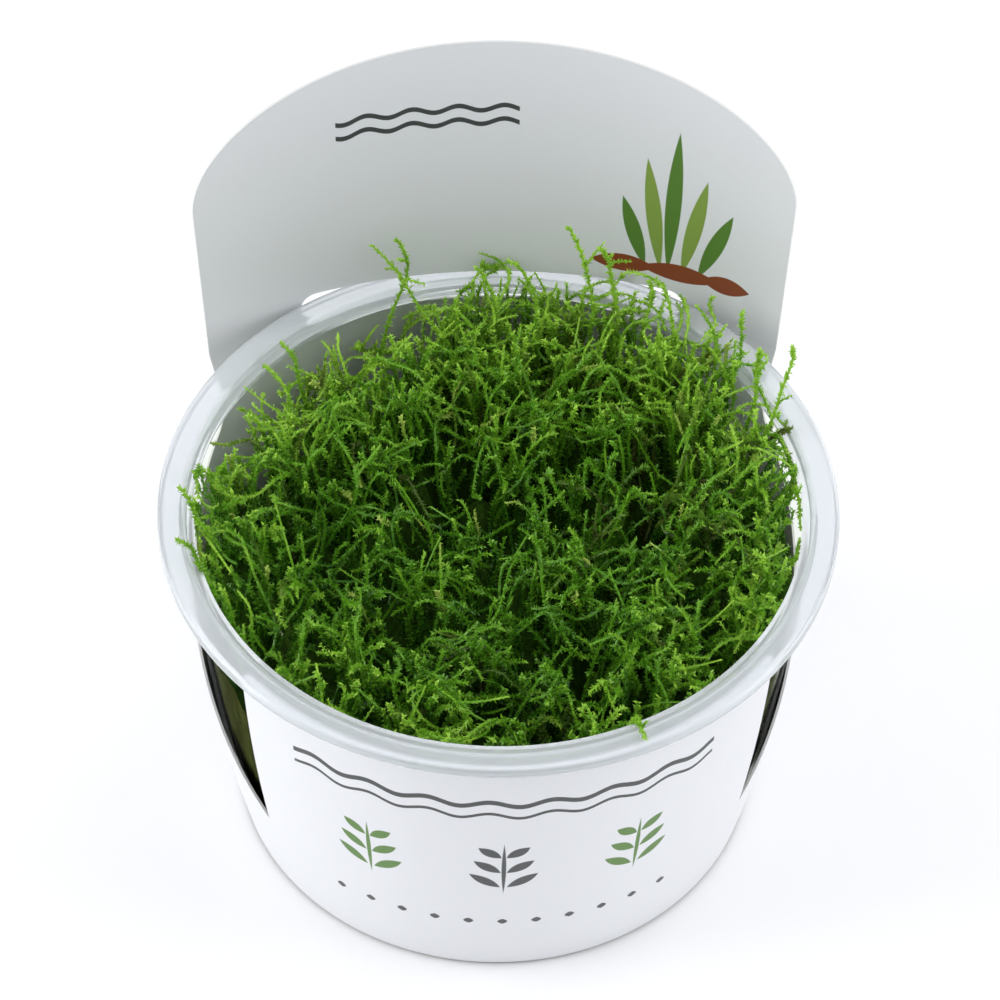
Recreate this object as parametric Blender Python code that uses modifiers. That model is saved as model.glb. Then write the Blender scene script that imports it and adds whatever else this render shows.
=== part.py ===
"""Java moss grown in a clear plastic cup with a printed-card sleeve round it.

The cup stands on the origin with its axis on Z, and the sleeve's tall header is at the back, +Y.
Sizes are in millimetres here and become metres as each mesh is made.
"""
import math

import bmesh
import bpy
from mathutils import Matrix, Vector
from mathutils.bvhtree import BVHTree

MM = 0.001

# Cup: a thin tub with a flat base, a wide rim flange and a seat for its lid
CUP_HEIGHT = 61.6
RIM_RADIUS = 50.5
RIM_SKIRT = 1.8
RIM_EDGE = 0.6
FLANGE_THICKNESS = 0.9
WALL_TOP_RADIUS = 46.3
WALL_TOP_HEIGHT = 59.6
WALL_BASE_RADIUS = 39.6
WALL_BULGE = 1.3
WALL_THICKNESS = 0.8
FLOOR_THICKNESS = 1.0
FLOOR_FILLET = 2.0
FOOT_RADIUS = 38.0
FOOT_CHAMFER = 0.5
LID_SEAT_RADIUS = 46.3
LID_SEAT_HEIGHT = 60.3
MOUTH_RADIUS = 45.1
MOUTH_EDGE = 0.3
CUP_STEPS = 54

# Sleeve: one card wrapped round the cup, turned a little from square
CARD_THICKNESS = 0.4
CARD_GAP = 0.4
CARD_RADIUS = 46.5
SLEEVE_TURN = math.radians(2.1)
SLEEVE_FOOT = 0.7
FRONT_TOP = 57.5
PANEL_LEFT_ANGLE = math.radians(53.2)
PANEL_RIGHT_ANGLE = math.radians(56.9)
FRONT_CORNER = 3.5
NOTCH_TIP_HEIGHT = 18.7
HEADER_FOOT = (45.8, 50.0)
HEADER_SHOULDER = (47.5, 86.5)
HEADER_HEIGHT = 107.4
HEADER_ARCH_POWER = 2.05
HEADER_CURVE_RADIUS = 84.0
HEADER_BACK = 46.8
HEADER_LEAN = 0.06
HEADER_LEAN_START = 60.0
HEADER_FILLET = 6.0
SLOT_HALF_LENGTH = 30.5
SLOT_LOW = 57.0
SLOT_HIGH = 62.4
CARD_COLUMNS = 72
CARD_ROWS = (8.0, 18.0, 28.0, 38.0, 48.0, 57.0, 75.0, 92.0)

# Moss: one springy clump, dished in the middle, whose top is all tufts and deep hollows
MOSS_GAP = 0.4
MOSS_LEVEL = 53.5
MOSS_DISH = 5.0
MOSS_BACK_RISE = 4.0
MOSS_RADIUS = 44.6
MOSS_NECK_HEIGHT = 58.0
MOSS_FOOT_RADIUS = 36.4
MOSS_FOOT_HEIGHT = 3.5
BARE_ANGLE = math.radians(140.0)
BARE_HALF_WIDTH = math.radians(10.5)
BARE_FADE = math.radians(28.5)
BARE_DEPTH = 13.0
BARE_START_RADIUS = 33.0
TUFT_COUNT = 52
TUFT_RADIUS = 6.2
TUFT_HEIGHT = 4.5
TUFT_HEIGHT_SPREAD = 0.45
TUFT_RADIUS_SPREAD = 0.2
GOLDEN_ANGLE = math.radians(137.508)
MOSS_CELLS = 32
MOSS_TOP_LIMIT = 72.0

# Hollows between the moss strands: (x, y, radius, depth)
HOLLOWS = (
    (-9.0, 8.0, 7.5, 15.0), (-6.0, 19.5, 5.5, 10.0), (1.0, 7.5, 4.5, 8.0), (-11.0, -2.5, 4.5, 7.5),
    (0.5, -30.5, 6.0, 13.0), (22.5, 11.0, 6.5, 12.0), (12.5, -17.5, 5.0, 9.0), (13.5, -26.5, 5.5, 10.5),
    (7.5, -37.0, 5.5, 10.0), (-15.0, -19.0, 6.0, 10.5), (-7.5, -19.5, 4.5, 7.5), (-26.5, -1.5, 6.0, 9.0),
    (-20.5, -8.5, 5.0, 8.0), (-35.5, -14.5, 5.0, 9.0), (-31.0, -22.5, 5.5, 9.5), (33.0, -24.5, 5.5, 11.0),
    (29.5, -13.5, 5.5, 9.0), (9.5, 13.5, 4.5, 8.0), (9.0, 3.0, 4.5, 7.0), (-2.5, -12.0, 4.5, 7.5),
    (21.5, 0.0, 5.0, 8.0), (20.5, -34.0, 4.5, 7.5), (-24.5, -29.0, 4.5, 7.5), (5.0, 24.5, 4.5, 6.0),
)

# Shoots that stand out of the clump: root (x, y), bend (x, y, z) and tip (x, y, z)
SHOOT_RADIUS = 0.65
SHOOT_TIP_SCALE = 0.6
SHOOT_POINTS = 9
SHOOTS = (
    ((-8.5, 35.5), (-15.5, 37.0, 70.5), (-20.0, 38.0, 76.5)),
    ((-19.0, 37.0), (-13.5, 42.0, 68.0), (-16.5, 42.0, 74.0)),
    ((-1.0, 37.0), (-1.5, 38.0, 67.5), (-4.0, 38.0, 72.0)),
    ((5.0, 37.0), (5.0, 38.5, 69.0), (1.0, 37.0, 74.5)),
    ((13.5, 36.0), (13.5, 36.5, 74.0), (9.5, 34.0, 85.0)),
    ((17.5, 36.5), (17.0, 37.5, 73.5), (14.5, 35.0, 79.5)),
    ((20.5, 34.5), (23.5, 37.0, 66.5), (22.5, 38.0, 69.5)),
    ((27.0, 32.0), (25.0, 34.0, 74.0), (18.5, 34.0, 75.5)),
    ((33.0, 27.5), (32.5, 29.5, 68.0), (29.5, 30.5, 72.0)),
    ((34.5, 24.0), (36.5, 26.0, 70.5), (36.0, 25.0, 76.5)),
    ((37.5, 19.5), (38.8, 21.0, 68.5), (38.5, 20.0, 73.5)),
    ((38.5, 15.0), (44.0, 18.0, 71.0), (43.0, 17.0, 77.5)),
    ((-42.0, -6.0), (-45.0, -5.5, 66.0), (-46.8, -3.0, 66.2)),
    ((-41.5, -13.5), (-44.5, -13.5, 65.0), (-46.5, -12.0, 65.0)),
    ((-30.0, 26.0), (-32.0, 27.5, 63.0), (-33.5, 29.0, 64.0)),
    ((-31.5, 19.0), (-33.0, 22.0, 63.5), (-36.0, 24.0, 64.0)),
    ((19.0, -39.0), (19.8, -42.0, 64.2), (21.0, -46.0, 63.6)),
)


def smooth_step(value, low, high):
    """Return 0 below low, 1 above high, and an eased slope between."""
    share = min(1.0, max(0.0, (value - low) / (high - low)))
    return share * share * (3.0 - 2.0 * share)


def wall_radius(height):
    """Return the cup wall's outer radius, a taper that swells a little half way up."""
    share = height / WALL_TOP_HEIGHT
    taper = WALL_BASE_RADIUS + (WALL_TOP_RADIUS - WALL_BASE_RADIUS) * share
    return taper + 4.0 * WALL_BULGE * share * (1.0 - share)


def make_material(name, colour, roughness, alpha=1.0):
    """Return a plain Principled material."""
    material = bpy.data.materials.new(name)
    material.use_nodes = True
    material.diffuse_color = (*colour, alpha)
    shader = material.node_tree.nodes["Principled BSDF"]
    shader.inputs["Base Color"].default_value = (*colour, 1.0)
    shader.inputs["Roughness"].default_value = roughness
    shader.inputs["Metallic"].default_value = 0.0
    shader.inputs["Alpha"].default_value = alpha
    return material


def new_object(name, data, collection, material=None):
    """Link an object to a collection and give it its material."""
    piece = bpy.data.objects.new(name, data)
    if material is not None:
        data.materials.append(material)
    collection.objects.link(piece)
    return piece


def new_cutter(name, data, collection):
    """Link a helper solid that only shapes its neighbours."""
    cutter = new_object(name, data, collection)
    cutter.hide_render = True
    cutter.display_type = "WIRE"
    return cutter


def turned_mesh(name, profile):
    """Return the mesh of a profile in the XZ plane, (radius, height) points top to bottom outside."""
    mesh = bpy.data.meshes.new(name)
    points = [(radius * MM, 0.0, height * MM) for radius, height in profile]
    edges = [(index, index + 1) for index in range(len(points) - 1)]
    mesh.from_pydata(points, edges, [])
    return mesh


def add_screw(piece):
    """Turn the piece's profile round the cup's axis."""
    screw = piece.modifiers.new("Turn", "SCREW")
    screw.steps = CUP_STEPS
    screw.render_steps = CUP_STEPS
    screw.use_merge_vertices = True
    screw.merge_threshold = 0.00001


def add_boolean(piece, cutter, operation):
    """Cut the piece with, or keep it inside, another solid."""
    boolean = piece.modifiers.new(cutter.name, "BOOLEAN")
    boolean.operation = operation
    boolean.object = cutter


def apply_modifiers(piece):
    """Replace the piece's mesh by the one that its modifiers give."""
    depsgraph = bpy.context.evaluated_depsgraph_get()
    finished = bpy.data.meshes.new_from_object(piece.evaluated_get(depsgraph))
    piece.modifiers.clear()
    piece.data = finished


def build_cup(collection):
    """Make the tub: floor, wall, lid seat and rim flange with its short skirt."""
    floor_edge = WALL_BASE_RADIUS - WALL_THICKNESS
    profile = [(0.0, FLOOR_THICKNESS), (floor_edge - FLOOR_FILLET, FLOOR_THICKNESS),
               (floor_edge - 0.3 * FLOOR_FILLET, FLOOR_THICKNESS + 0.25 * FLOOR_FILLET)]
    for height in (3.0, 14.0, 26.0, 38.0, 50.0, 58.8):
        profile.append((wall_radius(height) - WALL_THICKNESS, height))
    profile += [(MOUTH_RADIUS, LID_SEAT_HEIGHT - MOUTH_EDGE),
                (MOUTH_RADIUS + 0.7 * MOUTH_EDGE, LID_SEAT_HEIGHT - 0.2 * MOUTH_EDGE),
                (LID_SEAT_RADIUS - 0.1, LID_SEAT_HEIGHT),
                (LID_SEAT_RADIUS + 0.3, CUP_HEIGHT - 0.3),
                (LID_SEAT_RADIUS + 1.0, CUP_HEIGHT),
                (RIM_RADIUS - RIM_EDGE, CUP_HEIGHT),
                (RIM_RADIUS, CUP_HEIGHT - RIM_EDGE),
                (RIM_RADIUS, CUP_HEIGHT - RIM_SKIRT),
                (RIM_RADIUS - RIM_EDGE, CUP_HEIGHT - RIM_SKIRT),
                (RIM_RADIUS - RIM_EDGE - 0.2, CUP_HEIGHT - FLANGE_THICKNESS),
                (WALL_TOP_RADIUS + WALL_THICKNESS, CUP_HEIGHT - FLANGE_THICKNESS)]
    for height in (59.4, 50.0, 38.0, 26.0, 14.0, 2.0):
        profile.append((wall_radius(height), height))
    profile += [(WALL_BASE_RADIUS - FOOT_CHAMFER, FOOT_CHAMFER), (FOOT_RADIUS, 0.0), (0.0, 0.0)]
    cup = new_object("cup", turned_mesh("cup", profile), collection,
                     make_material("frosted plastic", (0.86, 0.89, 0.92), 0.25, 0.5))
    add_screw(cup)
    apply_modifiers(cup)
    cup.data.shade_smooth()
    cup.data.set_sharp_from_angle(angle=math.radians(40.0))


def arc_points(centre, radius, start, end, count):
    """Return points on a circle, from one angle in degrees to another."""
    points = []
    for index in range(count + 1):
        angle = math.radians(start + (end - start) * index / count)
        points.append((centre[0] + radius * math.cos(angle), centre[1] + radius * math.sin(angle)))
    return points


def round_corner(before, corner, after, radius, count):
    """Return an arc of the given radius that rounds a corner between two straight edges."""
    corner = Vector(corner)
    back = (Vector(before) - corner).normalized()
    ahead = (Vector(after) - corner).normalized()
    half = back.angle(ahead) / 2.0
    centre = corner + (back + ahead).normalized() * (radius / math.sin(half))
    first = (corner + back * (radius / math.tan(half)) - centre).normalized()
    last = (corner + ahead * (radius / math.tan(half)) - centre).normalized()
    return [tuple(centre + first.slerp(last, index / count) * radius) for index in range(count + 1)]


def sleeve_half_outline(panel_angle):
    """Return one half of the flat card, from the seam's foot up and over to the header's crown.

    The angle is how far the front panel reaches round the cup from the seam.
    """
    seam = math.pi * CARD_RADIUS
    panel_edge = (math.pi - panel_angle) * CARD_RADIUS
    tip = (panel_edge, NOTCH_TIP_HEIGHT)
    points = [(seam, SLEEVE_FOOT), (seam, FRONT_TOP)]
    points += round_corner((seam, FRONT_TOP), (panel_edge, FRONT_TOP), tip, FRONT_CORNER, 4)
    points.append(tip)
    points += round_corner(tip, HEADER_FOOT, HEADER_SHOULDER, HEADER_FILLET, 4)
    arch_rise = HEADER_HEIGHT - HEADER_SHOULDER[1]
    arch_steps = 14
    for index in range(arch_steps):
        angle = math.pi / 2.0 * index / arch_steps
        across = math.cos(angle) ** (2.0 / HEADER_ARCH_POWER)
        up = math.sin(angle) ** (2.0 / HEADER_ARCH_POWER)
        points.append((HEADER_SHOULDER[0] * across, HEADER_SHOULDER[1] + arch_rise * up))
    points.append((0.0, HEADER_HEIGHT))
    return points


def slot_outline():
    """Return the long round-ended slot that the cup's rim passes through."""
    middle = (SLOT_LOW + SLOT_HIGH) / 2.0
    radius = (SLOT_HIGH - SLOT_LOW) / 2.0
    run = SLOT_HALF_LENGTH - radius
    return (arc_points((run, middle), radius, -90.0, 90.0, 6)
            + arc_points((-run, middle), radius, 90.0, 270.0, 6))


def prism_mesh(name, outline):
    """Return a solid with the outline in XZ, standing through the flat card's thickness."""
    shape = bmesh.new()
    corners = [shape.verts.new((x * MM, -CARD_THICKNESS * MM, z * MM)) for x, z in outline]
    face = shape.faces.new(corners)
    extruded = bmesh.ops.extrude_face_region(shape, geom=[face])
    raised = [item for item in extruded["geom"] if isinstance(item, bmesh.types.BMVert)]
    bmesh.ops.translate(shape, verts=raised, vec=(0.0, 3.0 * CARD_THICKNESS * MM, 0.0))
    bmesh.ops.recalc_face_normals(shape, faces=shape.faces)
    mesh = bpy.data.meshes.new(name)
    shape.to_mesh(mesh)
    shape.free()
    return mesh


def flat_card_mesh():
    """Return the flat card as a slab, ruled in columns and rows so that it can bend."""
    length = 2.0 * math.pi * CARD_RADIUS
    top = HEADER_HEIGHT + 1.0
    shape = bmesh.new()
    bmesh.ops.create_cube(shape, size=1.0)
    bmesh.ops.scale(shape, verts=shape.verts, vec=(length * MM, CARD_THICKNESS * MM, top * MM))
    bmesh.ops.translate(shape, verts=shape.verts,
                        vec=(0.0, CARD_THICKNESS * MM / 2.0, top * MM / 2.0))
    cuts = [((length * (column / CARD_COLUMNS - 0.5) * MM, 0.0, 0.0), (1.0, 0.0, 0.0))
            for column in range(1, CARD_COLUMNS)]
    cuts += [((0.0, 0.0, row * MM), (0.0, 0.0, 1.0)) for row in CARD_ROWS]
    for point, normal in cuts:
        everything = list(shape.verts) + list(shape.edges) + list(shape.faces)
        bmesh.ops.bisect_plane(shape, geom=everything, plane_co=point, plane_no=normal)
    mesh = bpy.data.meshes.new("sleeve")
    shape.to_mesh(mesh)
    shape.free()
    return mesh


def wrapped_point(along, height):
    """Return where a point of the flat card's inner face goes, by its length along and its height.

    The band and the front panel hug the wall. Above the notches the back opens out, from the
    wall's curve to the header's flatter one, and the header leans back.
    """
    panel_angle = PANEL_RIGHT_ANGLE if along > 0.0 else PANEL_LEFT_ANGLE
    on_front = abs(along) > (math.pi - panel_angle) * CARD_RADIUS - 0.01
    hug = wall_radius(min(height, WALL_TOP_HEIGHT)) + CARD_GAP
    free = min(1.0, max(0.0, (height - NOTCH_TIP_HEIGHT) / (SLOT_LOW - NOTCH_TIP_HEIGHT)))
    opening = 0.0 if on_front else free ** 4
    curvature = (1.0 - opening) / hug + opening / HEADER_CURVE_RADIUS
    turn = along * ((1.0 - opening) / CARD_RADIUS + opening / HEADER_CURVE_RADIUS)
    leaning = HEADER_BACK + HEADER_LEAN * (height - HEADER_LEAN_START)
    back = hug + (leaning - hug) * opening
    return Vector((math.sin(turn) / curvature, back - (1.0 - math.cos(turn)) / curvature, height))


def build_sleeve(collection, cutters):
    """Cut the card flat, wrap its inner face round the cup, join the seam and thicken it."""
    outline = sleeve_half_outline(PANEL_RIGHT_ANGLE)
    left_half = sleeve_half_outline(PANEL_LEFT_ANGLE)
    outline += [(-x, z) for x, z in reversed(left_half[:-1])]
    card = new_object("sleeve", flat_card_mesh(), collection,
                      make_material("white card", (0.84, 0.85, 0.87), 0.45))
    add_boolean(card, new_cutter("card outline", prism_mesh("card outline", outline), cutters),
                "INTERSECT")
    add_boolean(card, new_cutter("rim slot", prism_mesh("rim slot", slot_outline()), cutters),
                "DIFFERENCE")
    apply_modifiers(card)
    shape = bmesh.new()
    shape.from_mesh(card.data)
    others = [face for face in shape.faces if any(vertex.co.y > 1e-6 for vertex in face.verts)]
    bmesh.ops.delete(shape, geom=others, context="FACES")
    for vertex in shape.verts:
        vertex.co = wrapped_point(vertex.co.x / MM, vertex.co.z / MM) * MM
    bmesh.ops.remove_doubles(shape, verts=shape.verts, dist=0.00001)
    bmesh.ops.rotate(shape, verts=shape.verts, cent=(0.0, 0.0, 0.0),
                     matrix=Matrix.Rotation(SLEEVE_TURN, 3, "Z"))
    bmesh.ops.triangulate(shape, faces=shape.faces)
    bmesh.ops.reverse_faces(shape, faces=shape.faces)
    shape.to_mesh(card.data)
    shape.free()
    thickness = card.modifiers.new("Thickness", "SOLIDIFY")
    thickness.thickness = CARD_THICKNESS * MM
    thickness.offset = 1.0
    apply_modifiers(card)
    card.data.shade_smooth()
    card.data.set_sharp_from_angle(angle=math.radians(40.0))


def tufts():
    """Return each tuft's place, radius and height, spread like seeds in a sunflower."""
    places = []
    for index in range(TUFT_COUNT):
        radius = MOSS_RADIUS * math.sqrt((index + 0.5) / TUFT_COUNT)
        angle = index * GOLDEN_ANGLE
        vary = math.sin(index * 2.37) * math.cos(index * 0.91)
        places.append((radius * math.cos(angle), radius * math.sin(angle),
                       TUFT_RADIUS * (1.0 - TUFT_RADIUS_SPREAD * vary),
                       TUFT_HEIGHT * (1.0 + TUFT_HEIGHT_SPREAD * vary)))
    return places


def moss_level(x, y):
    """Return the clump's mean height: a shallow dish that drops at the back left's bare wall."""
    radius = math.hypot(x, y)
    from_front = math.atan2(-x, -y)
    apart = abs(from_front - BARE_ANGLE)
    bare = 1.0 - smooth_step(apart, BARE_HALF_WIDTH, BARE_HALF_WIDTH + BARE_FADE)
    drop = BARE_DEPTH * bare * smooth_step(radius, BARE_START_RADIUS, MOSS_RADIUS)
    dish = MOSS_DISH * (radius / MOSS_RADIUS) ** 2
    return MOSS_LEVEL + dish + MOSS_BACK_RISE * y / MOSS_RADIUS - drop


def mound(x, y, places, power):
    """Return the tallest there of the round mounds, each (x, y, radius, height)."""
    tallest = 0.0
    for middle_x, middle_y, radius, height in places:
        apart = math.hypot(x - middle_x, y - middle_y) / radius
        tallest = max(tallest, height * max(0.0, 1.0 - apart ** 2) ** power)
    return tallest


def build_moss(collection, cutters):
    """Make the clump: a craggy block kept inside the cup, clear of its wall and floor."""
    inside = WALL_THICKNESS + MOSS_GAP
    floor = FLOOR_THICKNESS + MOSS_GAP
    profile = [(0.0, MOSS_TOP_LIMIT), (MOSS_RADIUS, MOSS_TOP_LIMIT),
               (MOSS_RADIUS, MOSS_NECK_HEIGHT)]
    for height in (50.0, 38.0, 26.0, 14.0, MOSS_FOOT_HEIGHT):
        profile.append((wall_radius(height) - inside, height))
    profile += [(MOSS_FOOT_RADIUS, floor), (0.0, floor)]
    room = new_cutter("room in the cup", turned_mesh("room in the cup", profile), cutters)
    add_screw(room)
    apply_modifiers(room)

    places = tufts()
    shape = bmesh.new()
    grid = bmesh.ops.create_grid(shape, x_segments=MOSS_CELLS, y_segments=MOSS_CELLS,
                                 size=(MOSS_RADIUS + 2.0) * MM)
    for vertex in grid["verts"]:
        x, y = vertex.co.x / MM, vertex.co.y / MM
        height = moss_level(x, y) + mound(x, y, places, 1.5) - mound(x, y, HOLLOWS, 1.0)
        vertex.co.z = height * MM
    underside = bmesh.ops.extrude_face_region(shape, geom=shape.faces[:], use_keep_orig=True)
    for vertex in underside["geom"]:
        if isinstance(vertex, bmesh.types.BMVert):
            vertex.co.z = -2.0 * MM
    bmesh.ops.recalc_face_normals(shape, faces=shape.faces)
    mesh = bpy.data.meshes.new("moss_clump")
    shape.to_mesh(mesh)
    shape.free()
    clump = new_object("moss_clump", mesh, collection,
                       make_material("moss", (0.10, 0.26, 0.03), 0.6))
    add_boolean(clump, room, "INTERSECT")
    apply_modifiers(clump)
    return clump


def curve_through(start, bend, tip, count):
    """Return points on a smooth curve that leaves the start upwards and passes near the bend."""
    rise = Vector((start.x, start.y, start.z + 0.45 * (bend.z - start.z)))
    pull = bend * 1.5 - start * 0.1 - tip * 0.4
    points = []
    for index in range(count):
        share = index / (count - 1)
        rest = 1.0 - share
        points.append(start * rest ** 3 + rise * 3.0 * rest ** 2 * share
                      + pull * 3.0 * rest * share ** 2 + tip * share ** 3)
    return points


def footing(surface, root):
    """Return the highest ground of the clump under a shoot's round foot."""
    highest = 0.0
    for index in range(9):
        reach = SHOOT_RADIUS if index else 0.0
        angle = index * math.pi / 4.0
        above = Vector((root[0] + reach * math.cos(angle), root[1] + reach * math.sin(angle),
                        2.0 * MOSS_TOP_LIMIT)) * MM
        hit = surface.ray_cast(above, Vector((0.0, 0.0, -1.0)))[0]
        highest = max(highest, hit.z / MM)
    return highest


def build_shoots(collection, clump):
    """Stand the tall shoots on the clump, each a thin stem that tapers to its tip."""
    surface = BVHTree.FromPolygons([vertex.co for vertex in clump.data.vertices],
                                   [face.vertices[:] for face in clump.data.polygons])
    material = make_material("shoot", (0.22, 0.42, 0.06), 0.55)
    for number, (root, bend, tip) in enumerate(SHOOTS, start=1):
        start = Vector((root[0], root[1], footing(surface, root) + MOSS_GAP))
        route = curve_through(start, Vector(bend), Vector(tip), SHOOT_POINTS)
        name = "moss_shoot_%02d" % number
        curve = bpy.data.curves.new(name, "CURVE")
        curve.dimensions = "3D"
        curve.bevel_depth = SHOOT_RADIUS * MM
        curve.bevel_resolution = 1
        curve.use_fill_caps = True
        spline = curve.splines.new("POLY")
        spline.points.add(len(route) - 1)
        for index, (point, place) in enumerate(zip(spline.points, route)):
            point.co = (*(place * MM), 1.0)
            point.radius = 1.0 - (1.0 - SHOOT_TIP_SCALE) * index / (len(route) - 1)
        new_object(name, curve, collection, material)


def build():
    """Model the whole plant pot."""
    for item in list(bpy.data.objects):
        bpy.data.objects.remove(item, do_unlink=True)
    parts = bpy.data.collections.new("potted java moss")
    cutters = bpy.data.collections.new("cutters")
    for collection in (parts, cutters):
        bpy.context.scene.collection.children.link(collection)
    build_cup(parts)
    build_sleeve(parts, cutters)
    clump = build_moss(parts, cutters)
    build_shoots(parts, clump)


build()
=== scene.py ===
"""Java moss growing in a clear plastic cup with a printed card sleeve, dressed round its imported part.

The cup stands on the origin, and +Y is towards the sleeve's tall header. Sizes are in millimetres.
"""
import math

import bmesh
import bpy
import numpy as np
from mathutils import Matrix, Vector


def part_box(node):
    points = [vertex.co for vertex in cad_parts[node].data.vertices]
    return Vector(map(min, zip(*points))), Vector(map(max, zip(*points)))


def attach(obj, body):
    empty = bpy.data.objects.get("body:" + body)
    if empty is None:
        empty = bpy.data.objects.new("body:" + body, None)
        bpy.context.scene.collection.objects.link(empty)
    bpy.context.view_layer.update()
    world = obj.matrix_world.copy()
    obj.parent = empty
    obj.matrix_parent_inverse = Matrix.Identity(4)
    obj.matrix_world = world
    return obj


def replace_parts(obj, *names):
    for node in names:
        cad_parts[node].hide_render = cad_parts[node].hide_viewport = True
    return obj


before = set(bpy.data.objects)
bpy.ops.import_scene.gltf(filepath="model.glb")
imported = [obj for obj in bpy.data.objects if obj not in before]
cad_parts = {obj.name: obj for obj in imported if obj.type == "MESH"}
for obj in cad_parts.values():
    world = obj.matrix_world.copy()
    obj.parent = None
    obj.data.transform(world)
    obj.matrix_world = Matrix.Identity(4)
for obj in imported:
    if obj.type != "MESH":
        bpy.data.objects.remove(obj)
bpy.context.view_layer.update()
MM = 0.001


# The cup
# A thin tub moulded in clear plastic that is a little milky where it is thick. The wall tapers to a
# flat base. At the mouth it steps out to a seat for the lid, and then to a flat flange with a skirt.

CUP_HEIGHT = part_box("cup")[1].z / MM
RIM_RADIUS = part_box("cup")[1].x / MM
RIM_SKIRT = 1.8
FLANGE_THICKNESS = 0.9
WALL_TOP_RADIUS = 46.3
WALL_TOP_HEIGHT = 59.6
WALL_BASE_RADIUS = 39.6
WALL_BULGE = 1.3
WALL_THICKNESS = 0.8
FLOOR_THICKNESS = 1.0
FOOT_RADIUS = 38.0
LID_SEAT_HEIGHT = 60.3
MOUTH_RADIUS = 45.1
SEAT_RADIUS = 46.4
FLANGE_RADIUS = 46.65
NECK_RADIUS = 47.1
SKIRT_THICKNESS = 0.6
CUP_STEPS = 160
WET_HEIGHT = 57.5
RIM_IOR = 1.49
WALL_IOR = 1.004
RIM_MILKINESS = 0.42
RIM_TINT = (0.90, 0.935, 0.965, 1.0)
WALL_TINT = (0.90, 0.93, 0.86, 1.0)


def wall_radius(height):
    """Return the cup wall's outer radius, a taper that swells a little half way up."""
    share = height / WALL_TOP_HEIGHT
    taper = WALL_BASE_RADIUS + (WALL_TOP_RADIUS - WALL_BASE_RADIUS) * share
    return taper + 4.0 * WALL_BULGE * share * (1.0 - share)


def rounded(corners):
    """Return a profile's points, with each corner (radius, height, rounding) eased into a curve."""
    points = []
    for index, (x, z, rounding) in enumerate(corners):
        here = Vector((x, z))
        if rounding == 0.0:
            points.append(here)
            continue
        before = Vector(corners[index - 1][:2]) - here
        after = Vector(corners[index + 1][:2]) - here
        first = here + before.normalized() * min(rounding, before.length * 0.5)
        last = here + after.normalized() * min(rounding, after.length * 0.5)
        for step in range(5):
            share = step / 4.0
            points.append(first.lerp(here, share).lerp(here.lerp(last, share), share))
    return points


def turned(points, steps):
    """Return a bmesh of points (radius, height) joined by a line and turned once round the axis."""
    shape = bmesh.new()
    line = [shape.verts.new((radius * MM, 0.0, height * MM)) for radius, height in points]
    for start, end in zip(line, line[1:]):
        shape.edges.new((start, end))
    bmesh.ops.spin(shape, geom=shape.verts[:] + shape.edges[:], axis=(0.0, 0.0, 1.0),
                   cent=(0.0, 0.0, 0.0), angle=2.0 * math.pi, steps=steps, use_merge=True)
    bmesh.ops.remove_doubles(shape, verts=shape.verts, dist=0.000005)
    bmesh.ops.recalc_face_normals(shape, faces=shape.faces)
    return shape


def finished_mesh(name, shape):
    """Return the mesh of a bmesh that is done with."""
    mesh = bpy.data.meshes.new(name)
    shape.to_mesh(mesh)
    shape.free()
    return mesh


def new_object(name, data):
    """Return a new object that is linked to the scene."""
    made = bpy.data.objects.new(name, data)
    bpy.context.scene.collection.objects.link(made)
    return made


def finished_piece(name, shape, materials, smooth_angle=None):
    """Return the object of a finished bmesh, which rides on the part's only body."""
    mesh = finished_mesh(name, shape)
    for material in materials:
        mesh.materials.append(material)
    if smooth_angle is not None:
        mesh.shade_smooth()
        mesh.set_sharp_from_angle(angle=smooth_angle)
    piece = new_object(name, mesh)
    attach(piece, "root")
    return piece


def feed(tree, node, inputs):
    """Set a node's inputs by name or number, each to a value or joined to a socket."""
    for key, given in inputs.items():
        if isinstance(given, bpy.types.NodeSocket):
            tree.links.new(given, node.inputs[key])
        else:
            node.inputs[key].default_value = given
    return node


def add_node(tree, kind, inputs):
    """Add a shader node with its inputs, and return its outputs."""
    return feed(tree, tree.nodes.new("ShaderNode" + kind), inputs).outputs


def add_group(tree, group, inputs):
    """Place a node group with its inputs, and return its outputs."""
    node = tree.nodes.new("ShaderNodeGroup")
    node.node_tree = group
    return feed(tree, node, inputs).outputs


def grain_group():
    """Return the group for the small unevenness that plastic, card and leaves all have."""
    group = bpy.data.node_groups.new("surface grain", "ShaderNodeTree")
    for name, way, kind in (("Vector", "INPUT", "Vector"), ("Scale", "INPUT", "Float"),
                            ("Height", "INPUT", "Float"), ("Value", "OUTPUT", "Float"),
                            ("Normal", "OUTPUT", "Vector")):
        group.interface.new_socket(name, in_out=way, socket_type="NodeSocket" + kind)
    inside = group.nodes.new("NodeGroupInput").outputs
    value = add_node(group, "TexNoise", {"Vector": inside["Vector"], "Scale": inside["Scale"],
                                         "Detail": 4.0, "Roughness": 0.6})["Fac"]
    bump = add_node(group, "Bump", {"Strength": inside["Height"], "Distance": 0.2 * MM,
                                    "Height": value})
    feed(group, group.nodes.new("NodeGroupOutput"), {"Value": value, "Normal": bump["Normal"]})
    return group


surface_grain = grain_group()


def new_material(name, roughness):
    """Return a new material, its tree and its Principled shader."""
    material = bpy.data.materials.new(name)
    material.use_nodes = True
    tree = material.node_tree
    return material, tree, feed(tree, tree.nodes["Principled BSDF"], {"Roughness": roughness})


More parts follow.
